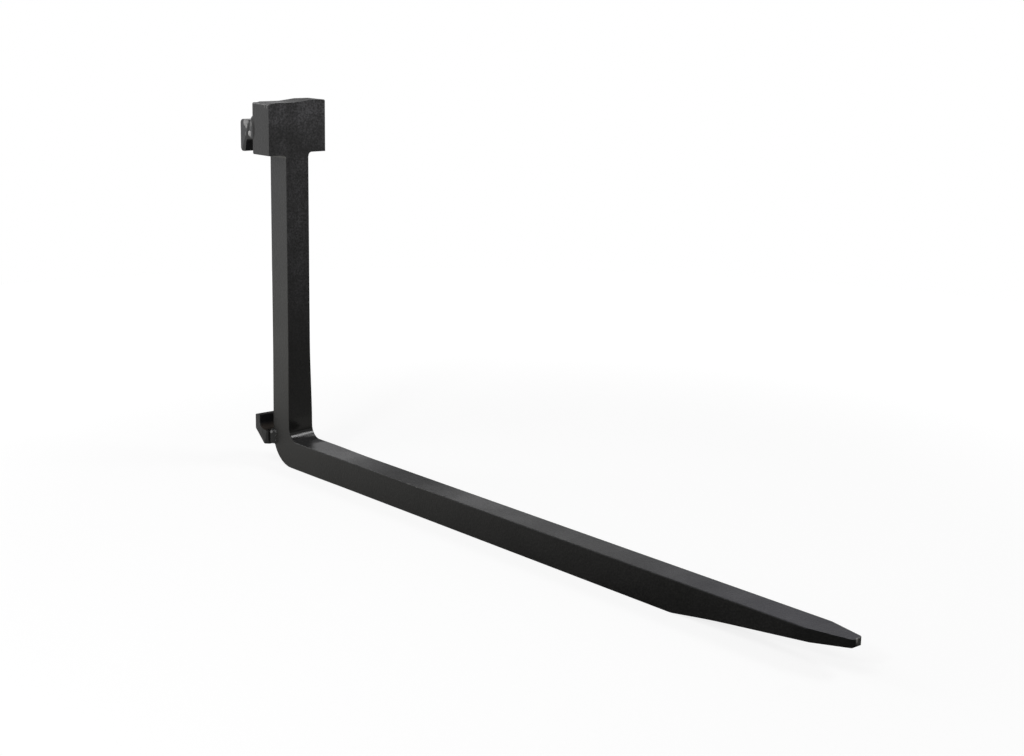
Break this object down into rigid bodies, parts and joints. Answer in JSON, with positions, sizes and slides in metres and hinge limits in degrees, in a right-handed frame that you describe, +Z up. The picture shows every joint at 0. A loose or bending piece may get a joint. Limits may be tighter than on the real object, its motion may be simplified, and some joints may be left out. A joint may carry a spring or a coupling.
{
  "type": "block fork",
  "caption": "Narrow, thick lift-truck fork arm with a wide head, an upper and a lower carriage hook, a bent heel and a blade that tapers to a narrow tip.",
  "frame": {"origin": "middle of the upper hook's seat, the downward face that hangs on the carriage's top edge", "axes": "+Z up along the shank, the blade points towards -Y, +X across the fork"},
  "size_m": [0.114, 1.306, 0.6352],
  "materials": {
    "arm_paint": "semi-matt black paint on forged steel",
    "hook_paint": "semi-matt black paint on flame-cut steel",
    "weld_paint": "semi-gloss black paint on weld beads"
  },
  "bodies": {
    "root": {"fork_arm": "arm_paint", "upper_hook": "hook_paint", "lower_hook": "hook_paint", "upper_hook_top_weld": "weld_paint", "upper_hook_left_weld": "weld_paint", "upper_hook_right_weld": "weld_paint", "lower_hook_left_weld": "weld_paint", "lower_hook_right_weld": "weld_paint", "lower_hook_bottom_weld": "weld_paint"}
  },
  "joints": []
}
